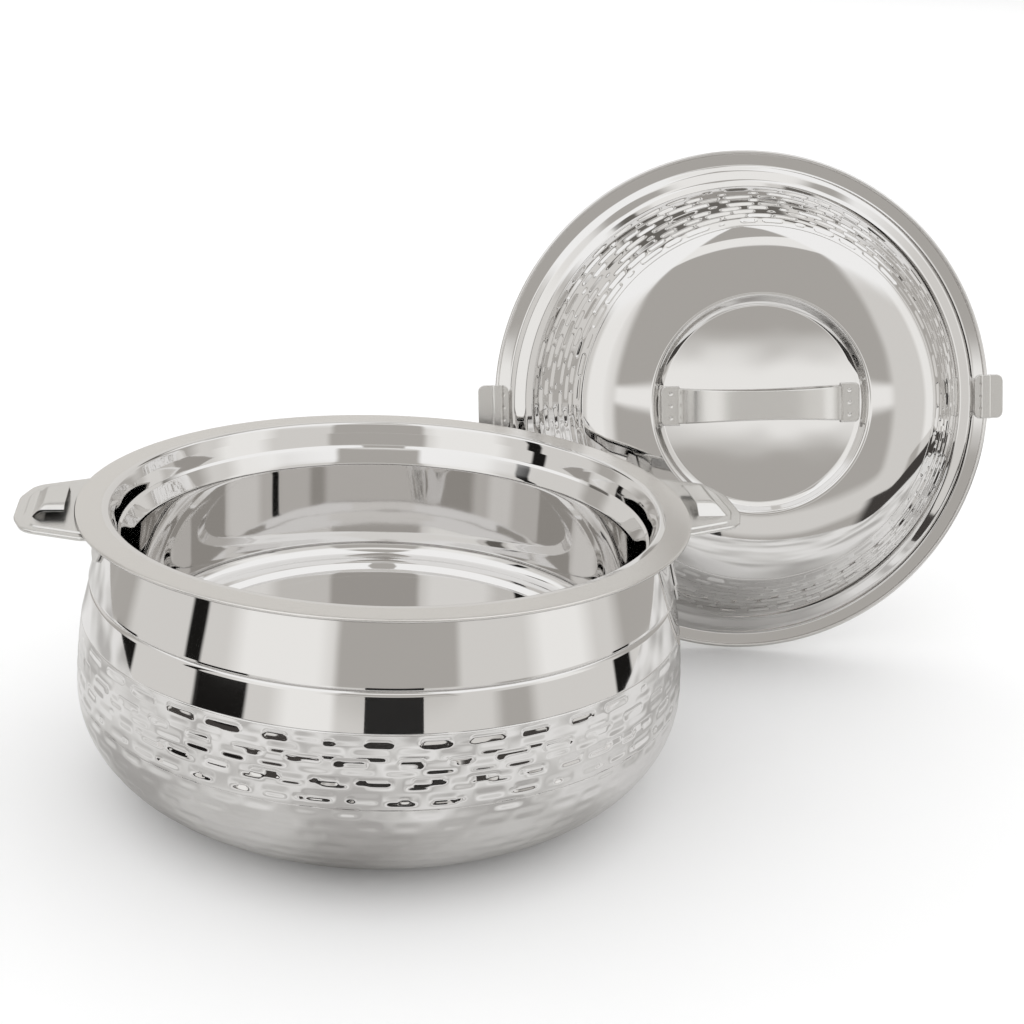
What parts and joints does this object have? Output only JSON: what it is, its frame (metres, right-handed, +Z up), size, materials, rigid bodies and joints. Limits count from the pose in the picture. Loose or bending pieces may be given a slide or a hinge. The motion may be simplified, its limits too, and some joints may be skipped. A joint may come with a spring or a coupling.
{
  "type": "insulated chapati casserole with lid",
  "caption": "Double-walled belly-shaped steel casserole with side handles, and its domed twist-lock lid with a strap handle standing on its rim behind it.",
  "frame": {"origin": "centre of the bowl's flat base, on the table", "axes": "+Z up along the bowl's axis, the two side handles along X, the lid standing on its rim behind the bowl at +X and +Y with its dome facing -Y"},
  "size_m": [0.5107, 0.3274, 0.264],
  "materials": {
    "mirror_steel": "mirror-polished stainless steel, with a hammered belt of dimples",
    "satin_steel": "satin-brushed stainless steel",
    "foam": "rigid polyurethane foam, sealed inside the walls",
    "silicone": "white silicone"
  },
  "bodies": {
    "bowl": {"outer_shell": "mirror_steel", "inner_vessel": "mirror_steel", "bowl_insulation": "foam", "base_plate": "satin_steel", "left_handle_plate": "satin_steel", "right_handle_plate": "satin_steel", "left_handle_bracket": "satin_steel", "right_handle_bracket": "satin_steel"},
    "lid_seal": {"lid_gasket": "silicone"},
    "lid": {"lid_shell": "mirror_steel", "lid_liner": "mirror_steel", "lid_insulation": "foam", "lid_handle_strap": "satin_steel", "left_lock_clip": "satin_steel", "right_lock_clip": "satin_steel"}
  },
  "joints": [
    {"name": "lid_lift", "type": "slide", "parent": "bowl", "child": "lid_seal", "axis": [0, 0, 1], "range_m": [0, 0.25]},
    {"name": "lid_twist", "type": "hinge", "parent": "lid_seal", "child": "lid", "pos_m": [0.2076, 0.1511, 0.13175], "axis": [-0.1283, -0.9602, 0.2482], "range_deg": [-20, 0]}
  ]
}
